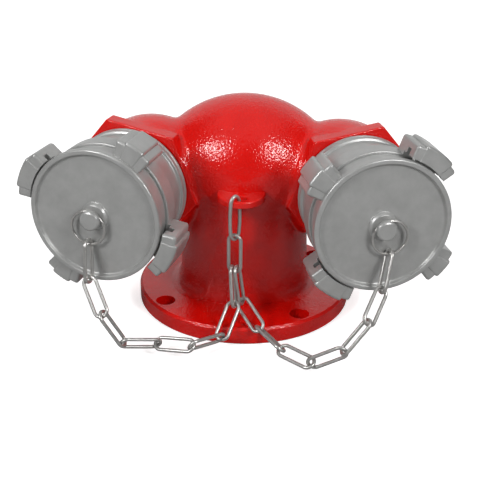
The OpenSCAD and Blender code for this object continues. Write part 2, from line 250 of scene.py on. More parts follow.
# %% Bright steel
def steel_varying(sheet, where):
    clouds = noise(sheet, where, 4.0, 3.0)
    grain = noise(sheet, where, 0.6, 2.0)
    tone = mix(sheet, clouds, (0.48, 0.47, 0.455, 1), (0.66, 0.65, 0.63, 1))
    return {"Base Color": tone, "Roughness": 0.28 + 0.12 * clouds,
            "Normal": bump(sheet, grain, 0.006)}


bright_steel = finish("bright_steel", {"Metallic": 0.8}, steel_varying)


# %% [markdown]
# ### Rubber and bronze
# Seals and facings are matt black rubber. The clappers inside are bronze castings, brown and
# dull where water has stood on them.

# %% Rubber and bronze
def rubber_varying(sheet, where):
    dust = noise(sheet, where, 3.0, 4.0)
    return {"Base Color": mix(sheet, dust, (0.018, 0.018, 0.018, 1), (0.035, 0.034, 0.033, 1)),
            "Roughness": 0.6 + 0.2 * dust,
            "Normal": bump(sheet, noise(sheet, where, 0.8), 0.05)}


def bronze_varying(sheet, where):
    stain = band(sheet, noise(sheet, where, 8.0, 4.0, 0.6), 0.35, 0.65)
    return {"Base Color": mix(sheet, stain, (0.46, 0.27, 0.10, 1), (0.30, 0.18, 0.08, 1)),
            "Roughness": 0.38 + 0.2 * stain,
            "Normal": bump(sheet, noise(sheet, where, 1.6, 3.0), 0.2)}


rubber = finish("rubber", {"Specular IOR Level": 0.3}, rubber_varying)
bronze = finish("bronze", {"Metallic": 0.9}, bronze_varying)


# %% [markdown]
# ## Places of the inlets
# Each inlet has its own frame: x across, y up and z out along the bore, from the middle of the
# hexagon's rear face. The cap's joint states that point and axis, so the frame is read from it
# instead of being typed in again.

# %% Inlet frames
def inlet_frame(side):
    joint = next(j for j in frame["joints"] if j["name"] == side + "_cap_twist")
    outward = Vector(joint["axis"]).normalized()
    across = Vector((0, 0, 1)).cross(outward).normalized()
    matrix = Matrix((across, Vector((0, 0, 1)), outward)).transposed().to_4x4()
    matrix.translation = Vector(joint["pos_m"])
    return matrix


inlets = {side: inlet_frame(side) for side in SIDES}
for side, matrix in inlets.items():
    print(side, "inlet starts at", [round(v * 1000, 1) for v in matrix.translation])


# %% [markdown]
# ## How a mesh becomes a piece
# Every mesh ends the same way. It gets smooth shading and its finish, it rides on a moving body
# of the CAD model, and the CAD nodes it stands for are hidden. Weighted normals keep the flat
# faces flat to the light, although narrow bevels beside them are shaded smooth.

# %% Piece helpers
def finished(name, mesh, material, body, slot, *nodes):
    """Makes a mesh a piece: smooth shading, finish, body and the CAD nodes it stands for."""
    mesh.materials.clear()
    mesh.materials.append(material)
    mesh.polygons.foreach_set("use_smooth", [True] * len(mesh.polygons))
    piece = bpy.data.objects.new(name, mesh)
    bpy.context.scene.collection.objects.link(piece)
    piece.modifiers.new("flat_faces_stay_flat", "WEIGHTED_NORMAL").keep_sharp = False
    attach(piece, body)
    if nodes:
        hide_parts(*nodes)
    print(name, "has", sum(len(p.vertices) - 2 for p in mesh.polygons), "triangles")
    return piece


def applied(draft, *modifiers):
    """The mesh of a bmesh with modifiers on it, given as (type, settings), made plain."""
    mesh = bpy.data.meshes.new("draft")
    bmesh.ops.recalc_face_normals(draft, faces=draft.faces)
    draft.to_mesh(mesh)
    draft.free()
    holder = bpy.data.objects.new("draft", mesh)
    bpy.context.scene.collection.objects.link(holder)
    for kind, settings in modifiers:
        modifier = holder.modifiers.new(kind.lower(), kind)
        for key, value in settings.items():
            setattr(modifier, key, value)
    bpy.context.view_layer.update()
    plain = bpy.data.meshes.new_from_object(
        holder.evaluated_get(bpy.context.evaluated_depsgraph_get()))
    bpy.data.objects.remove(holder)
    return plain


# %% [markdown]
# ## The cast body
# A founder's pattern has no sharp inner corners: the round dome, the neck and the two arms run
# into each other through wide fillets, because metal tears where a corner is sharp. Modelled
# from faces, such blends need endless patching. Here the body is a field instead. Every simple
# form gives the distance to its surface, a smooth minimum of two distances melts the forms
# together, and a wall is the outer field less the inner one. Geometry Nodes samples the field in
# a volume and turns the zero level into a mesh.

# %% Distances to simple forms
class Field:
    """Distances, in millimetres, inside a Geometry Nodes tree."""

    def __init__(self, sheet):
        self.sheet = sheet
        position = sheet.add("GeometryNodeInputPosition")
        self.xyz = [v * 1000.0 for v in sheet.parts("ShaderNodeSeparateXYZ", {0: position})]

    def local(self, matrix):
        """Coordinates in an inlet's frame."""
        shift = [v * 1000 for v in matrix.translation]
        moved = [p - s for p, s in zip(self.xyz, shift)]
        turn = matrix.to_3x3()
        return [moved[0] * turn[0][k] + moved[1] * turn[1][k] + moved[2] * turn[2][k]
                for k in range(3)]

    def length(self, *parts):
        total = parts[0] * parts[0]
        for part in parts[1:]:
            total = total + part * part
        return total.maths("SQRT")

    def cylinder(self, u, v, radius):
        return self.length(u, v) - radius

    def both(self, a, b):
        return a.maths("MAXIMUM", b)

    def either(self, a, b):
        return a.maths("MINIMUM", b)

    def melt(self, a, b, width):
        return a.maths("SMOOTH_MIN", b, width)

    def between(self, w, low, high):
        """Distance to a slab from low to high."""
        return (w - (low + high) / 2).maths("ABSOLUTE") - (high - low) / 2

    def round_ended(self, u, v, w, radius, rear):
        """A rod along w whose end at w = rear is a half ball."""
        return self.length(u, v, (w - rear).maths("MINIMUM", 0.0)) - radius


# %% The body's field
NECK_R, BORE_R, BODY_Z, BODY_Y = 55.0, 47.0, 129.0, 3.0
DRAFT, DRAFT_TOP = 0.04, 95.0
DOME_ARC, DOME_R = 90.0, 58.0
WALL, TUBE_R, TUBE_REAR = 7.0, 49.5, -20.0
BALL_R, BALL_X, BALL_Y, BALL_Z = 52.0, 78.0, -8.0, 116.5
HEX_R, HEX_DEEP, HEX_TURN = 60.0, 14.0, math.radians(20)
HEX_ROLL = {side: math.radians(90) - sign * HEX_TURN for side, sign in SIDES.items()}
SEAT, INLET_R, SOCKET_R = -6.0, 31.0, 37.5
FLANGE_T = 15.0
EAR_R, EAR_T, EAR_Z = 20.0, 6.0, 121.5
EAR_Y = BODY_Y - DOME_R - 3
EAR_HOLE_Y, EAR_HOLE_R = EAR_Y - EAR_R + 9, 5.0
FOOT_R = NECK_R + 14      # how far the fillet at the foot of the neck spreads
# How widely neighbouring forms melt together, in millimetres.
NECK_MELT, FOOT_MELT, EAR_MELT, ARM_MELT, BALL_MELT, PLATE_MELT = 12.0, 18.0, 7.0, 5.0, 10.0, 1.5
BORE_MELT = 6.0
HIDDEN = 0.3              # how far a form that only makes a fillet stays under its own piece
FOOT_UP = 3.0             # the cast body ends this far up inside the flange


def spindle(field, shrink):
    """The dome: an arc turned about the x axis."""
    x, y, z = field.xyz
    out = field.length(y - BODY_Y, z - BODY_Z) + (DOME_ARC - DOME_R)
    return field.length(x, out) - (DOME_ARC - shrink)


def hexagon(field, u, v):
    """Distance to a hexagon's sides."""
    flat = HEX_R * math.cos(math.pi / 6) - HIDDEN
    sides = [(u * math.cos(a) + v * math.sin(a)).maths("ABSOLUTE")
             for a in (math.radians(30 + 60 * k) for k in range(3))]
    return field.both(field.both(sides[0], sides[1]), sides[2]) - flat


def outside(field):
    """Distance to the outer skin, with every fillet."""
    x, y, z = field.xyz
    draft = (DRAFT_TOP - z).maths("MAXIMUM", 0.0) * DRAFT
    neck = field.both(field.cylinder(x, y, NECK_R) - draft, z - BODY_Z)
    foot = field.both(field.cylinder(x, y, FOOT_R), z - (FLANGE_T - HIDDEN))
    shape = field.melt(spindle(field, 0.0), neck, NECK_MELT)
    shape = field.melt(shape, foot, FOOT_MELT)
    ear = field.both(field.both(field.cylinder(x, y - EAR_Y, EAR_R - 1.5), EAR_Y - 4 - y),
                     field.between(z, EAR_Z - EAR_T + HIDDEN, EAR_Z - HIDDEN))
    shape = field.melt(shape, ear, EAR_MELT)
    for side, sign in SIDES.items():
        u, v, w = field.local(inlets[side])
        turned = (u * math.cos(HEX_ROLL[side]) + v * math.sin(HEX_ROLL[side]),
                  v * math.cos(HEX_ROLL[side]) - u * math.sin(HEX_ROLL[side]))
        ball = field.length(x - sign * BALL_X, y - BALL_Y, z - BALL_Z) - BALL_R
        tube = field.round_ended(u, v, w, TUBE_R, TUBE_REAR)
        plate = field.both(hexagon(field, *turned), HIDDEN - w)
        arm = field.melt(field.melt(tube, ball, BALL_MELT), plate, PLATE_MELT)
        shape = field.melt(shape, arm, ARM_MELT)
        shape = field.both(shape, w - (HEX_DEEP - HIDDEN))
    return field.both(shape, FOOT_UP - z)


def inside(field):
    """Distance to the hollow: the dome, the bore below it and both inlets."""
    x, y, z = field.xyz
    bore = field.both(field.cylinder(x, y, BORE_R), z - BODY_Z)
    hollow = field.melt(spindle(field, WALL), bore, BORE_MELT)
    for side, sign in SIDES.items():
        u, v, w = field.local(inlets[side])
        chamber = field.both(field.round_ended(u, v, w, TUBE_R - WALL, TUBE_REAR), w - SEAT)
        ball = field.length(x - sign * BALL_X, y - BALL_Y, z - BALL_Z) - (BALL_R - WALL)
        throat = field.both(field.cylinder(u, v, INLET_R), (SEAT - 2) - w)
        socket = field.both(field.cylinder(u, v, SOCKET_R), -w)
        front = field.either(field.either(field.both(ball, w - SEAT), chamber),
                             field.either(throat, socket))
        hollow = field.either(hollow, front)
    return hollow


# %% [markdown]
# The sampling step is the one size that matters: 2.2 mm keeps the fillets smooth. The sharp
# forms, which are the flange, the hexagons and the ear, are made separately, because a grid
# would round them unevenly.

# %% Body from the field
STEP = 2.2
FIELD_BOX = (-0.156, -0.070, -0.004), (0.156, 0.068, 0.192)


def body_tree():
    tree = bpy.data.node_groups.new("body_field", "GeometryNodeTree")
    tree.interface.new_socket("Step", in_out="INPUT", socket_type="NodeSocketFloat")
    tree.interface.new_socket("Material", in_out="INPUT", socket_type="NodeSocketMaterial")
    tree.interface.new_socket("Mesh", in_out="OUTPUT", socket_type="NodeSocketGeometry")
    sheet = Sheet(tree)
    entry = tree.nodes.new("NodeGroupInput")
    step, material = (Value(sheet, entry.outputs[name]) for name in ("Step", "Material"))
    field = Field(sheet)
    wall = field.both(outside(field), -inside(field))
    low, high = FIELD_BOX
    values = {"Density": -wall, "Background": -5.0, "Min": low, "Max": high}
    for axis, a, b in zip("XYZ", low, high):
        values[f"Resolution {axis}"] = (step ** -1.0) * ((b - a) * 1000)
    cube = sheet.add("GeometryNodeVolumeCube", {}, values)
    skin = sheet.add("GeometryNodeVolumeToMesh", {"resolution_mode": "GRID"},
                     {"Volume": cube, "Threshold": 0.0, "Adaptivity": 0.0})
    real = sheet.add("GeometryNodeRealizeInstances", {}, {"Geometry": skin})
    painted = sheet.add("GeometryNodeSetMaterial", {}, {"Geometry": real, "Material": material})
    sheet.end("NodeGroupOutput", "Mesh", painted)
    return tree


def run_tree(tree, settings, mesh=None):
    """Runs a Geometry Nodes tree on a mesh and returns the plain result."""
    holder = bpy.data.objects.new("holder", mesh or bpy.data.meshes.new("holder"))
    bpy.context.scene.collection.objects.link(holder)
    modifier = holder.modifiers.new("nodes", "NODES")
    modifier.node_group = tree
    for item in tree.interface.items_tree:
        if item.item_type == "SOCKET" and item.in_out == "INPUT" and item.name in settings:
            modifier[item.identifier] = settings[item.name]
    bpy.context.view_layer.update()
    plain = bpy.data.meshes.new_from_object(
        holder.evaluated_get(bpy.context.evaluated_depsgraph_get()))
    holder.modifiers.remove(modifier)
    bpy.data.objects.remove(holder)
    return plain


shell = run_tree(body_tree(), {"Step": STEP, "Material": red_paint})
print("body mesh:", len(shell.vertices), "points")
finished("cast_body", shell, red_paint, "connection", "red_paint", "body_casting")


# %% [markdown]
# ## Flange, hexagons and ear
# These are the crisp forms of the casting. Their edges are still rounded by a millimetre or two,
# as any casting's are, and it is this rounding that catches the light. Each is a plain solid
# with its holes cut by a Boolean, and a Bevel on the edges that are sharper than 30 degrees.

# %% Helpers for turned and cut solids
def lathe(draft, profile, steps=128, closed=False):
    """Turns (radius, height) points in millimetres about z. Points on the axis become poles."""
    rings = []
    for radius, height in profile:
        count = 1 if radius < 1e-6 else steps
        rings.append([draft.verts.new((radius * MM * math.cos(math.tau * i / steps),
                                       radius * MM * math.sin(math.tau * i / steps),
                                       height * MM)) for i in range(count)])
    pairs = list(zip(rings, rings[1:])) + ([(rings[-1], rings[0])] if closed else [])
    for a, b in pairs:
        for i in range(steps):
            j = (i + 1) % steps
            corners = [a[i % len(a)], a[j % len(a)], b[j % len(b)], b[i % len(b)]]
            unique = list(dict.fromkeys(corners))
            if len(unique) > 2:
                draft.faces.new(unique)
    return draft


def eased(profile, radius, steps=4, closed=True):
    """A profile with each corner replaced by a small arc, as casting and wear leave it."""
    out = []
    count = len(profile)
    for i, corner in enumerate(profile):
        r = radius[i] if isinstance(radius, (list, tuple)) else radius
        if r <= 0 or (not closed and i in (0, count - 1)):
            out.append(corner)
            continue
        here = Vector(corner)
        before = Vector(profile[i - 1]) - here
        after = Vector(profile[(i + 1) % count]) - here
        angle = before.angle(after)
        reach = min(r / math.tan(angle / 2), before.length * 0.45, after.length * 0.45)
        a, b = here + before.normalized() * reach, here + after.normalized() * reach
        for k in range(steps + 1):
            t = k / steps
            point = a * (1 - t) ** 2 + here * 2 * t * (1 - t) + b * t ** 2
            out.append((point.x, point.y))
    return out


def half_circle(radius, x, y, steps):
    """Points on the half circle below (x, y), from left to right."""
    return [(x + radius * math.cos(a), y + radius * math.sin(a))
            for a in (math.radians(180 + 180 * k / steps) for k in range(steps + 1))]


def prism(draft, near, far):
    """A solid between two outlines that have the same number of (x, y, z) points."""
    rings = [[draft.verts.new([c * MM for c in point]) for point in outline]
             for outline in (near, far)]
    draft.faces.new(rings[0])
    draft.faces.new(rings[1])
    for i in range(len(near)):
        j = (i + 1) % len(near)
        draft.faces.new((rings[0][i], rings[0][j], rings[1][j], rings[1][i]))
    return draft


def moved(mesh, matrix):
    """A mesh built in an inlet's frame, put in its place."""
    mesh.transform(matrix)
    mesh.update()
    return mesh


def cutter(name, pins, low, high, steps=64):
    """Cylinders to subtract, at (x, y, radius) in millimetres."""
    draft = bmesh.new()
    for x, y, radius in pins:
        rod = bmesh.new()
        lathe(rod, [(0, low), (radius, low), (radius, high), (0, high)], steps)
        bmesh.ops.recalc_face_normals(rod, faces=rod.faces)
        rod.transform(Matrix.Translation((x * MM, y * MM, 0)))
        mesh = bpy.data.meshes.new(name)
        rod.to_mesh(mesh)
        rod.free()
        draft.from_mesh(mesh)
    mesh = bpy.data.meshes.new(name)
    draft.to_mesh(mesh)
    draft.free()
    tool = bpy.data.objects.new(name, mesh)
    bpy.context.scene.collection.objects.link(tool)
    return tool


def cut_and_eased(draft, tool, width_mm, steps=3):
    """A solid less a tool, with its sharp edges bevelled."""
    mesh = applied(draft, ("BOOLEAN", {"operation": "DIFFERENCE", "object": tool,
                                       "solver": "EXACT"}),
                   ("BEVEL", {"width": width_mm * MM, "segments": steps,
                              "limit_method": "ANGLE", "angle_limit": math.radians(30),
                              "harden_normals": False}))
    bpy.data.objects.remove(tool)
    return mesh


# %% Base flange
FLANGE_R, BOLT_CIRCLE, BOLT_R, BOLT_TURN = 96.0, 84.0, 8.5, 38.0
draft = lathe(bmesh.new(), [(BORE_R, 0), (FLANGE_R - 1, 0), (FLANGE_R, 1),
                            (FLANGE_R, FLANGE_T - 2), (FLANGE_R - 2, FLANGE_T),
                            (BORE_R, FLANGE_T)], 160, closed=True)
bolts = [(BOLT_CIRCLE * math.cos(math.radians(BOLT_TURN + 90 * k)),
          BOLT_CIRCLE * math.sin(math.radians(BOLT_TURN + 90 * k)), BOLT_R) for k in range(4)]
finished("base_flange", cut_and_eased(draft, cutter("bolts", bolts, -1, FLANGE_T + 1), 0.9),
         red_paint, "connection", "red_paint", "body_casting")

# %% [markdown]
# The hexagons are where a wrench holds the body while a coupling is screwed in. They are cast
# with the body, so their corners are softer than a machined nut's.

# %% Hexagons
for side in SIDES:
    around = [HEX_ROLL[side] + math.radians(60 * k) for k in range(6)]
    draft = prism(bmesh.new(), *([(HEX_R * math.cos(a), HEX_R * math.sin(a), z) for a in around]
                                 for z in (0, HEX_DEEP)))
    tool = cutter("socket", [(0, 0, SOCKET_R)], -2, HEX_DEEP + 2, 96)
    plate = moved(cut_and_eased(draft, tool, 1.3, 4), inlets[side])
    finished(side + "_hexagon", plate, red_paint, "connection", "red_paint", "body_casting")

# %% [markdown]
# The ear is a half-round plate on the front of the neck. The long link of both chains hangs in
# its hole.

# %% Ear
ear_root = BODY_Y - DOME_R + 3
outline = [(-EAR_R, ear_root), *half_circle(EAR_R, 0, EAR_Y, 40), (EAR_R, ear_root)]
draft = prism(bmesh.new(), *([(x, y, z) for x, y in outline] for z in (EAR_Z - EAR_T, EAR_Z)))
tool = cutter("ear_hole", [(0, EAR_HOLE_Y, EAR_HOLE_R)], EAR_Z - EAR_T - 2, EAR_Z + 2)
finished("ear", cut_and_eased(draft, tool, 1.3, 4), red_paint, "connection", "red_paint",
         "body_casting")


# %% [markdown]
# ### Pin lugs
# Two small lugs in the roof of each chamber carry the pin that a clapper swings on. They are
# seen only from inside, but without them the pin would hang in the air.

# %% Pin lugs
PIN_Y, PIN_Z, KNUCKLE_R, LUG_IN, LUG_OUT = 37.0, -11.5, 4.2, 9.0, 14.5
roof = TUBE_R - 3         # inside the wall of the chamber
for side in SIDES:
    draft = bmesh.new()
    for sign in (-1, 1):
        outline = [(PIN_Z - KNUCKLE_R, roof), *half_circle(KNUCKLE_R, PIN_Z, PIN_Y, 16),
                   (PIN_Z + KNUCKLE_R, roof)]
        prism(draft, *([(sign * x, y, z) for z, y in outline] for x in (LUG_IN, LUG_OUT)))
    lugs = moved(applied(draft, ("BEVEL", {"width": 0.5 * MM, "segments": 2,
                                           "limit_method": "ANGLE",
                                           "angle_limit": math.radians(30)})), inlets[side])
    finished(side + "_pin_lugs", lugs, red_paint, "connection", "red_paint", "body_casting")


# %% [markdown]
# ## Couplings
# A coupling screws into the hexagon and carries two hooked claws. The next coupling, or the cap,
# pushes in and turns until each one's lugs sit in the other's claws. The round part is one
# turned profile. A claw is a C-shaped section carried round part of a circle, where the opening
# of the C is the channel that the lugs slide in. A lug is a plain block of the same kind.

# %% Helpers for parts of a ring
SLIGHT, END_SHARE = 0.08, 0.55     # shares of the bevel width, on plain edges and at the ends


def sweep(draft, sections, turn=0.0, eased_corners=None):
    """Skins closed sections of (radius, height) points, each given with its angle in degrees.

    eased_corners maps a corner's index to its share of the bevel width. The rest get SLIGHT."""
    loops = []
    for degrees, profile in sections:
        a = math.radians(degrees + turn)
        loops.append([draft.verts.new((r * MM * math.cos(a), r * MM * math.sin(a), z * MM))
                      for r, z in profile])
    for one, two in zip(loops, loops[1:]):
        for i in range(len(one)):
            j = (i + 1) % len(one)
            draft.faces.new((one[i], one[j], two[j], two[i]))
    draft.faces.new(loops[0])
    draft.faces.new(loops[-1])
    if eased_corners is None:
        return
    weight = draft.edges.layers.float.new("bevel_weight_edge")
    count = len(loops[0])
    for one, two in zip(loops, loops[1:]):
        for i in range(count):
            draft.edges.get((one[i], two[i]))[weight] = eased_corners.get(i, SLIGHT)
    for end in (loops[0], loops[-1]):
        for i in range(count):
            j = (i + 1) % count
            outer = i in eased_corners or j in eased_corners
            draft.edges.get((end[i], end[j]))[weight] = END_SHARE if outer else SLIGHT


def joined(meshes):
    """Several meshes as one."""
    draft = bmesh.new()
    for mesh in meshes:
        draft.from_mesh(mesh)
        bpy.data.meshes.remove(mesh)
    mesh = bpy.data.meshes.new("joined")
    draft.to_mesh(mesh)
    draft.free()
    return mesh


def block(turn, wide, r1, r2, z1, z2, ease=0.8):
    """Part of a ring with eased edges."""
    draft = bmesh.new()
    steps = max(1, round(wide / 3))
    sweep(draft, [(-wide / 2 + wide * k / steps, [(r1, z1), (r2, z1), (r2, z2), (r1, z2)])
                  for k in range(steps + 1)], turn)
    return applied(draft, ("BEVEL", {"width": ease * MM, "segments": 2,
                                     "limit_method": "ANGLE",
                                     "angle_limit": math.radians(35)}))


# %% [markdown]
# A claw is made twice over: a high middle, and the full width a little lower. Where the two
# overlap they look like one casting with a step down at each side. A bevel whose width is
# weighted from edge to edge rounds the outer corners well and the channel hardly at all.

# %% Claw
CHANNEL_R, CLAW_IN, CLAW_OUT, CLAW_EASE, GROOVE_R = 62.3, 57.3, 71.0, 4.2, 50.0
STEP_SIDE, STEP_DROP, STEP_ENDS = 6.0, 2.3, 0.6
CLAW_SHARES = {1: 1.0, 2: 0.62}


def claw_section(outer, z1, z2, c1, c2, step, hub_in_front):
    """A C on its side, open inwards, joined to its hub at one end. Corners 1 and 2 are outside."""
    if hub_in_front:
        return [(CLAW_IN, z1), (outer, z1), (outer, z2), (GROOVE_R, z2), (GROOVE_R, step),
                (CLAW_IN, step), (CLAW_IN, c2), (CHANNEL_R, c2), (CHANNEL_R, c1), (CLAW_IN, c1)]
    return [(GROOVE_R, z1), (outer, z1), (outer, z2), (CLAW_IN, z2), (CLAW_IN, c2),
            (CHANNEL_R, c2), (CHANNEL_R, c1), (CLAW_IN, c1), (CLAW_IN, step), (GROOVE_R, step)]


def claw(turn, wide, z1, z2, c1, c2, step, hub_in_front=False):
    """A claw: its high middle and its full width a step lower, both eased, in one mesh."""
    parts = []
    for half, drop, shrink in ((wide / 2 - STEP_SIDE, 0, 0), (wide / 2, STEP_DROP, STEP_ENDS)):
        draft = bmesh.new()
        steps = max(4, round(math.radians(2 * half) * CLAW_OUT / 6.5))
        section = claw_section(CLAW_OUT - drop, z1 + shrink, z2 - shrink, c1, c2, step,
                               hub_in_front)
        sweep(draft, [(-half + 2 * half * k / steps, section) for k in range(steps + 1)], turn,
              CLAW_SHARES)
        parts.append(applied(draft, ("BEVEL", {"width": CLAW_EASE * MM, "segments": 5,
                                               "limit_method": "WEIGHT",
                                               "use_clamp_overlap": False})))
    return joined(parts)


# %% Couplings
WASHER, COUPLING_L, GAP, CAP_L = 1.5, 51.5, 0.3, 21.0
JOINT = HEX_DEEP + COUPLING_L
CAP_BACK = JOINT + GAP
RIM = CAP_BACK + CAP_L
ENGAGE, LUG_R, LUG_T, LUG_WIDE, CLEAR = 94.0, 61.8, 4.5, 16.0, 0.5
COUPLING_LUG_Z, CAP_LUG_Z = HEX_DEEP + 42, CAP_BACK + 5
COUPLING_CLAW_Z, CAP_CLAW_Z = HEX_DEEP + 38, HEX_DEEP + 37
COUPLING_CLAW_WIDE, CAP_CLAW_WIDE = 35, 26
COUPLING_CLAW_LEAD, CAP_CLAW_LEAD = 2, 3     # how far each claw's end stays behind the cap's rim
STOP_TURN, STOP_WIDE = 11.8, 1.6             # the wall that closes a cap claw's channel
HEAD_START, SLEEVE_R, HEAD_R = HEX_DEEP + 35.5, 48.5, 54.5
SEAL_IN, SEAL_OUT, SEAL_T = 39.8, 46.2, 4
COUPLING_TURN = {"left": 155.0, "right": 53.0}
CAP_TURN = {"left": 59.0, "right": -38.0}
base = HEX_DEEP + WASHER
coupling_profile = [(INLET_R, 0.5), (37.3, 0.5), (37.3, base), (51, base), (51, base + 2.2),
                    (50.3, base + 2.7), (50.3, base + 4.4), (51, base + 4.9),
                    (51, base + 8), (SLEEVE_R, base + 9), (SLEEVE_R, HEAD_START - 1),
                    (HEAD_R, HEAD_START), (HEAD_R, JOINT), (SEAL_OUT, JOINT),
                    (SEAL_OUT, JOINT - SEAL_T), (SEAL_IN, JOINT - SEAL_T), (SEAL_IN, JOINT),
                    (INLET_R, JOINT)]
coupling_easing = [0.5, 0.8, 0, 1.2, 0.3, 0.3, 0.3, 0.3, 1.2, 1.5, 2.5, 1.6, 1.2, 0.4, 0.2, 0.2,
                   0.4, 1.0]
for side in SIDES:
    draft = lathe(bmesh.new(), eased(coupling_profile, coupling_easing, 4), 160, closed=True)
    parts = [applied(draft)]
    for half in (0, 180):
        turn = COUPLING_TURN[side] + half
        parts.append(claw(turn, COUPLING_CLAW_WIDE, COUPLING_CLAW_Z, RIM - COUPLING_CLAW_LEAD,
                          CAP_LUG_Z - CLEAR, CAP_LUG_Z + LUG_T + CLEAR, JOINT))
        parts.append(block(turn - ENGAGE, LUG_WIDE, GROOVE_R, LUG_R, COUPLING_LUG_Z,
                           COUPLING_LUG_Z + LUG_T))
    finished(side + "_coupling", moved(joined(parts), inlets[side]), cast_aluminium,
             "connection", "cast_aluminium", side + "_inlet_coupling")


# %% [markdown]
# ## Caps
# A cap is the same joint turned round, closed by a shallow dish with a rounded rim. A mushroom
# knob in the middle holds the chain's ring. A thin wall closes each claw's channel at one end
# and stops the turn.

# %% Caps
CAP_R, RIM_W, RECESS, HOLLOW_R, FLOOR_T = 55.5, 5.0, 3.0, 35, 6
DISH = RIM - RECESS
COLLAR_R, NECK_PIN_R, KNOB_R, KNOB_T, RING_WIRE = 11.5, 3.0, 8.25, 6.0, 2.2
collar_z = RIM + 0.5
head_z = collar_z + 0.4 + RING_WIRE + 0.4
cap_profile = [(0, head_z + KNOB_T), (KNOB_R - 1.6, head_z + KNOB_T - 0.1),
               (KNOB_R - 0.4, head_z + KNOB_T - 0.9), (KNOB_R, head_z + 3.4),
               (KNOB_R - 0.5, head_z + 0.5), (KNOB_R - 2, head_z),
               (NECK_PIN_R, head_z), (NECK_PIN_R, collar_z), (COLLAR_R - 1.5, collar_z),
               (COLLAR_R, collar_z - 1.6), (COLLAR_R, DISH), (CAP_R - RIM_W, DISH),
               (CAP_R - RIM_W + 1, RIM), (CAP_R, RIM), (CAP_R, RIM - 6), (CAP_R - 3, RIM - 7),
               (CAP_R - 3, CAP_BACK), (SEAL_OUT, CAP_BACK), (SEAL_OUT, CAP_BACK + SEAL_T),
               (SEAL_IN, CAP_BACK + SEAL_T), (SEAL_IN, CAP_BACK), (HOLLOW_R, CAP_BACK),
               (HOLLOW_R, DISH - FLOOR_T), (0, DISH - FLOOR_T)]
cap_easing = [0, 1.0, 0.9, 1.0, 1.0, 0.8, 0.3, 0.3, 0.8, 1.0, 1.2, 1.8, 1.3, 1.6, 1.4, 0.8, 1.0,
              0.3, 0.2, 0.2, 0.3, 0.8, 1.5, 0]
for side in SIDES:
    draft = lathe(bmesh.new(), eased(cap_profile, cap_easing, 4, closed=False), 160)
    parts = [applied(draft)]
    for half in (0, 180):
        turn = CAP_TURN[side] + half
        low, high = COUPLING_LUG_Z - CLEAR, COUPLING_LUG_Z + LUG_T + CLEAR
        parts.append(claw(turn, CAP_CLAW_WIDE, CAP_CLAW_Z, RIM - CAP_CLAW_LEAD, low, high,
                          CAP_BACK, True))
        parts.append(block(turn + STOP_TURN, STOP_WIDE, CLAW_IN, CHANNEL_R + 0.5, low - 0.3,
                           high + 0.3, 0.05))
        parts.append(block(turn + ENGAGE, LUG_WIDE, GROOVE_R, LUG_R, CAP_LUG_Z,
                           CAP_LUG_Z + LUG_T))
    finished(side + "_cap_dish", moved(joined(parts), inlets[side]), cast_aluminium,
             side + "_cap_assembly", "cast_aluminium", side + "_cap")


# %% [markdown]
# ## Chains
# Wire links repeat, so Geometry Nodes make them. A rectangle with fully rounded ends is one
# link's centre line, and a taper can narrow it towards its ends, as on the long link. A round
# profile is swept along it, a little thicker at the butt weld in the middle of one side. The
# links' places come from the CAD model: the spread of each node's own points gives its centre
# and its long, wide and thin directions.

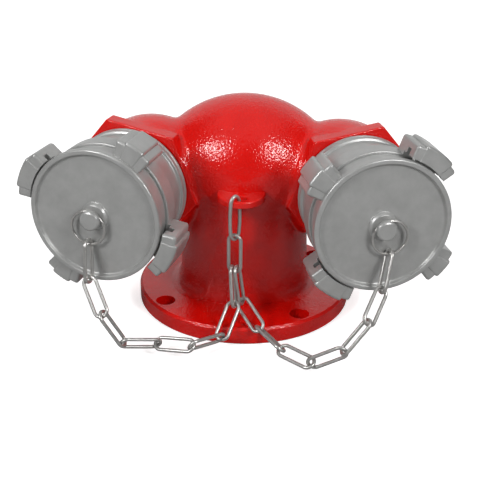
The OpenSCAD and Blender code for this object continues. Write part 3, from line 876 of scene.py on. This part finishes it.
# %% Link tree
def link_tree():
    tree = bpy.data.node_groups.new("wire_links", "GeometryNodeTree")
    sockets = (("Places", "NodeSocketGeometry"), ("Length", "NodeSocketFloat"),
               ("Width", "NodeSocketFloat"), ("Wire", "NodeSocketFloat"),
               ("Weld", "NodeSocketFloat"), ("Taper", "NodeSocketFloat"),
               ("Material", "NodeSocketMaterial"))
    for name, kind in sockets:
        tree.interface.new_socket(name, in_out="INPUT", socket_type=kind)
    tree.interface.new_socket("Mesh", in_out="OUTPUT", socket_type="NodeSocketGeometry")
    sheet = Sheet(tree)
    entry = tree.nodes.new("NodeGroupInput")
    places, length, width, wire, weld, taper, material = (
        Value(sheet, entry.outputs[n]) for n, _ in sockets)
    line = sheet.add("GeometryNodeCurvePrimitiveQuadrilateral", {"mode": "RECTANGLE"},
                     {"Width": length - wire, "Height": width - wire})
    round_ = sheet.add("GeometryNodeFilletCurve", {"mode": "POLY"},
                       {"Curve": line, "Count": 12, "Radius": (width - wire) * 0.4999})
    fine = sheet.add("GeometryNodeResampleCurve", {"mode": "COUNT"},
                     {"Curve": round_, "Count": 72})
    position = sheet.add("GeometryNodeInputPosition")
    x, y, _ = sheet.parts("ShaderNodeSeparateXYZ", {0: position})
    reach = x / (length * 0.5)
    slim = sheet.add("ShaderNodeCombineXYZ", {}, {0: x, 1: y * (1.0 - reach * reach * taper)})
    oval = sheet.add("GeometryNodeSetPosition", {}, {"Geometry": fine, "Position": slim})
    near = sheet.add("ShaderNodeMapRange", {"interpolation_type": "SMOOTHSTEP"},
                     {"Value": x.maths("ABSOLUTE"), "From Min": 0.0004, "From Max": 0.0022,
                      "To Min": 1.0, "To Max": 0.0})
    upper = y.maths("GREATER_THAN", 0.0)
    thick = sheet.add("GeometryNodeSetCurveRadius", {},
                      {"Curve": oval, "Radius": near * upper * weld + 1.0})
    circle = sheet.add("GeometryNodeCurvePrimitiveCircle", {"mode": "RADIUS"},
                       {"Resolution": 16, "Radius": wire * 0.5})
    tube = sheet.add("GeometryNodeCurveToMesh", {},
                     {"Curve": thick, "Profile Curve": circle})
    turn = sheet.add("GeometryNodeInputNamedAttribute", {"data_type": "FLOAT_VECTOR"},
                     {"Name": "turn"})
    rotation = sheet.add("FunctionNodeEulerToRotation", {}, {0: turn})
    many = sheet.add("GeometryNodeInstanceOnPoints", {},
                     {"Points": places, "Instance": tube, "Rotation": rotation})
    real = sheet.add("GeometryNodeRealizeInstances", {}, {"Geometry": many})
    plated = sheet.add("GeometryNodeSetMaterial", {}, {"Geometry": real, "Material": material})
    sheet.end("NodeGroupOutput", "Mesh", plated)
    return tree


wire_nodes = link_tree()
print("link tree has", len(wire_nodes.nodes), "nodes")


# %% Places of the loops
def pose_of(node):
    """Centre and turn of a wire loop, from the spread of its CAD points."""
    mesh = frame["nodes"][node].data
    points = np.empty(len(mesh.vertices) * 3)
    mesh.vertices.foreach_get("co", points)
    points = points.reshape(-1, 3)
    middle = (points.max(0) + points.min(0)) / 2
    for _ in range(3):
        _, axes = np.linalg.eigh(np.cov((points - middle).T))
        axes = axes[:, ::-1]
        along = (points - middle) @ axes
        middle = middle + axes @ ((along.max(0) + along.min(0)) / 2)
    if np.linalg.det(axes) < 0:
        axes[:, 2] *= -1
    size = along.max(0) - along.min(0)
    return middle, Matrix(axes.tolist()).to_euler(), size


def loops(name, nodes, length, width, wire, weld, taper=0.0):
    """One piece for all these loops of wire."""
    poses = [pose_of(node) for node in nodes]
    mesh = bpy.data.meshes.new(name)
    mesh.from_pydata([tuple(p[0]) for p in poses], [], [])
    turn = mesh.attributes.new("turn", "FLOAT_VECTOR", "POINT")
    for i, (_, euler, _) in enumerate(poses):
        turn.data[i].vector = euler
    made = run_tree(wire_nodes, {"Length": length * MM, "Width": width * MM,
                                  "Wire": wire * MM, "Weld": weld, "Taper": taper,
                                  "Material": bright_steel}, mesh)
    print(name, "first loop measures", (poses[0][2] * 1000).round(2), "mm in the CAD")
    finished(name, made, bright_steel, "connection", "bright_steel", *nodes)


# %% Links and rings
links = ["common_link"] + [f"{side}_chain_link_{i}" for side in SIDES for i in range(1, 9)]
loops("chain_links", links, 37.0, 13.5, 3.0, 0.16)
loops("long_link", ["ear_link"], 41.0, 13.5, 3.0, 0.1, 0.34)
loops("rings", [side + "_cap_ring" for side in SIDES], 30.5, 30.5, 2.2, 0.0)


# %% [markdown]
# ## Parts that stay as they are
# The seals, washers, clappers, screws and pins keep their exact CAD shapes, because they are
# turned or moulded parts that are hardly seen. They only get their finishes.

# %% Finishes for the carried-over parts
INNER = {"coupling_washer": rubber, "coupling_seal": rubber, "cap_seal": rubber,
         "clapper_facing": rubber, "clapper": bronze, "clapper_retainer": bronze,
         "clapper_screw": bronze, "clapper_pin": bright_steel}
for side in SIDES:
    for part, material in INNER.items():
        slots = frame["nodes"][f"{side}_{part}"].data.materials
        slots.clear()
        slots.append(material)
print("finished", 2 * len(INNER), "inner parts")


# %% [markdown]
# ## Stage
# The object stands on a pale floor, as in a catalogue. The floor's glow is for camera rays, and
# it rises with distance so that the edge of the floor is lost in the backdrop. All other rays
# see a darker floor, so that little light comes back up at the object. Mirror rays also see it
# glow behind the object, which lights the upper edges. Two small softboxes in front give the
# dome its pair of highlights, a wide lamp stands behind, and one overhead fills in the top.

# %% Floor
FLOOR_GLOW, FAR_GLOW, MIRROR_GLOW, REACH, FLOOR_Z = 0.62, 0.16, 0.6, 6.0, -0.0002


def ray(sheet, kind):
    """1 for rays of this kind and 0 for others."""
    return sheet.add("ShaderNodeLightPath", out=f"Is {kind} Ray")


def stage_floor():
    material, sheet = empty_material("floor_white")
    seen, mirrored = ray(sheet, "Camera"), ray(sheet, "Glossy")
    where = sheet.add("ShaderNodeTexCoord", out="Object")
    behind = band(sheet, sheet.parts("ShaderNodeSeparateXYZ", {0: where})[1], 0.12, 0.5)
    away = sheet.add("ShaderNodeVectorMath", {"operation": "LENGTH"}, {0: where}, out="Value")
    far = band(sheet, away, 0.4, 1.6)
    pale = mix(sheet, seen, (0.3, 0.3, 0.3, 1), (0.8, 0.8, 0.8, 1))
    matt = sheet.add("ShaderNodeBsdfDiffuse", {}, {"Color": pale})
    shine = seen * (FLOOR_GLOW + far * FAR_GLOW) + mirrored * behind * MIRROR_GLOW
    glow = sheet.add("ShaderNodeEmission", {}, {"Color": (1, 1, 1, 1), "Strength": shine})
    both = sheet.add("ShaderNodeAddShader", {}, {0: matt, 1: glow})
    sheet.end("ShaderNodeOutputMaterial", "Surface", both)
    mesh = bpy.data.meshes.new("floor")
    mesh.from_pydata([(x * REACH, y * REACH, FLOOR_Z)
                      for x, y in ((-1, -1), (1, -1), (1, 1), (-1, 1))], [], [(0, 1, 2, 3)])
    mesh.materials.append(material)
    floor = bpy.data.objects.new("floor", mesh)
    bpy.context.scene.collection.objects.link(floor)
    print("floor reaches", REACH, "m each way")


stage_floor()


# %% World and lamps
def lamp(name, where, aim, size, watts):
    """A soft rectangular lamp, in metres, aimed at a point."""
    data = bpy.data.lights.new(name, "AREA")
    data.shape, data.size, data.size_y, data.energy = "RECTANGLE", size[0], size[1], watts
    item = bpy.data.objects.new(name, data)
    item.location = where
    item.rotation_euler = (Vector(aim) - Vector(where)).to_track_quat("-Z", "Y").to_euler()
    bpy.context.scene.collection.objects.link(item)


world = bpy.data.worlds.new("studio")
bpy.context.scene.world = world
world.use_nodes = True
world.node_tree.nodes.clear()
sky = Sheet(world.node_tree)
SEEN, FILL, REST = 0.95, 0.22, 0.05     # more for the camera, some fill for matt faces, a rest
strength = ray(sky, "Camera") * SEEN + ray(sky, "Diffuse") * FILL + REST
plain = sky.add("ShaderNodeBackground", {}, {"Color": (1, 1, 1, 1), "Strength": strength})
sky.end("ShaderNodeOutputWorld", "Surface", plain)
AIM = (0, 0, 0.1)
for side, sign in SIDES.items():
    lamp(side + "_softbox", (sign * 0.62, -0.70, 0.67), AIM, (0.22, 0.26), 5.0)
lamp("rear_wall", (0.0, 1.8, 0.9), AIM, (4.0, 2.4), 17)
lamp("overhead", (0.0, -0.1, 2.1), AIM, (3.0, 3.0), 9)
bpy.context.scene.view_settings.view_transform = "Standard"
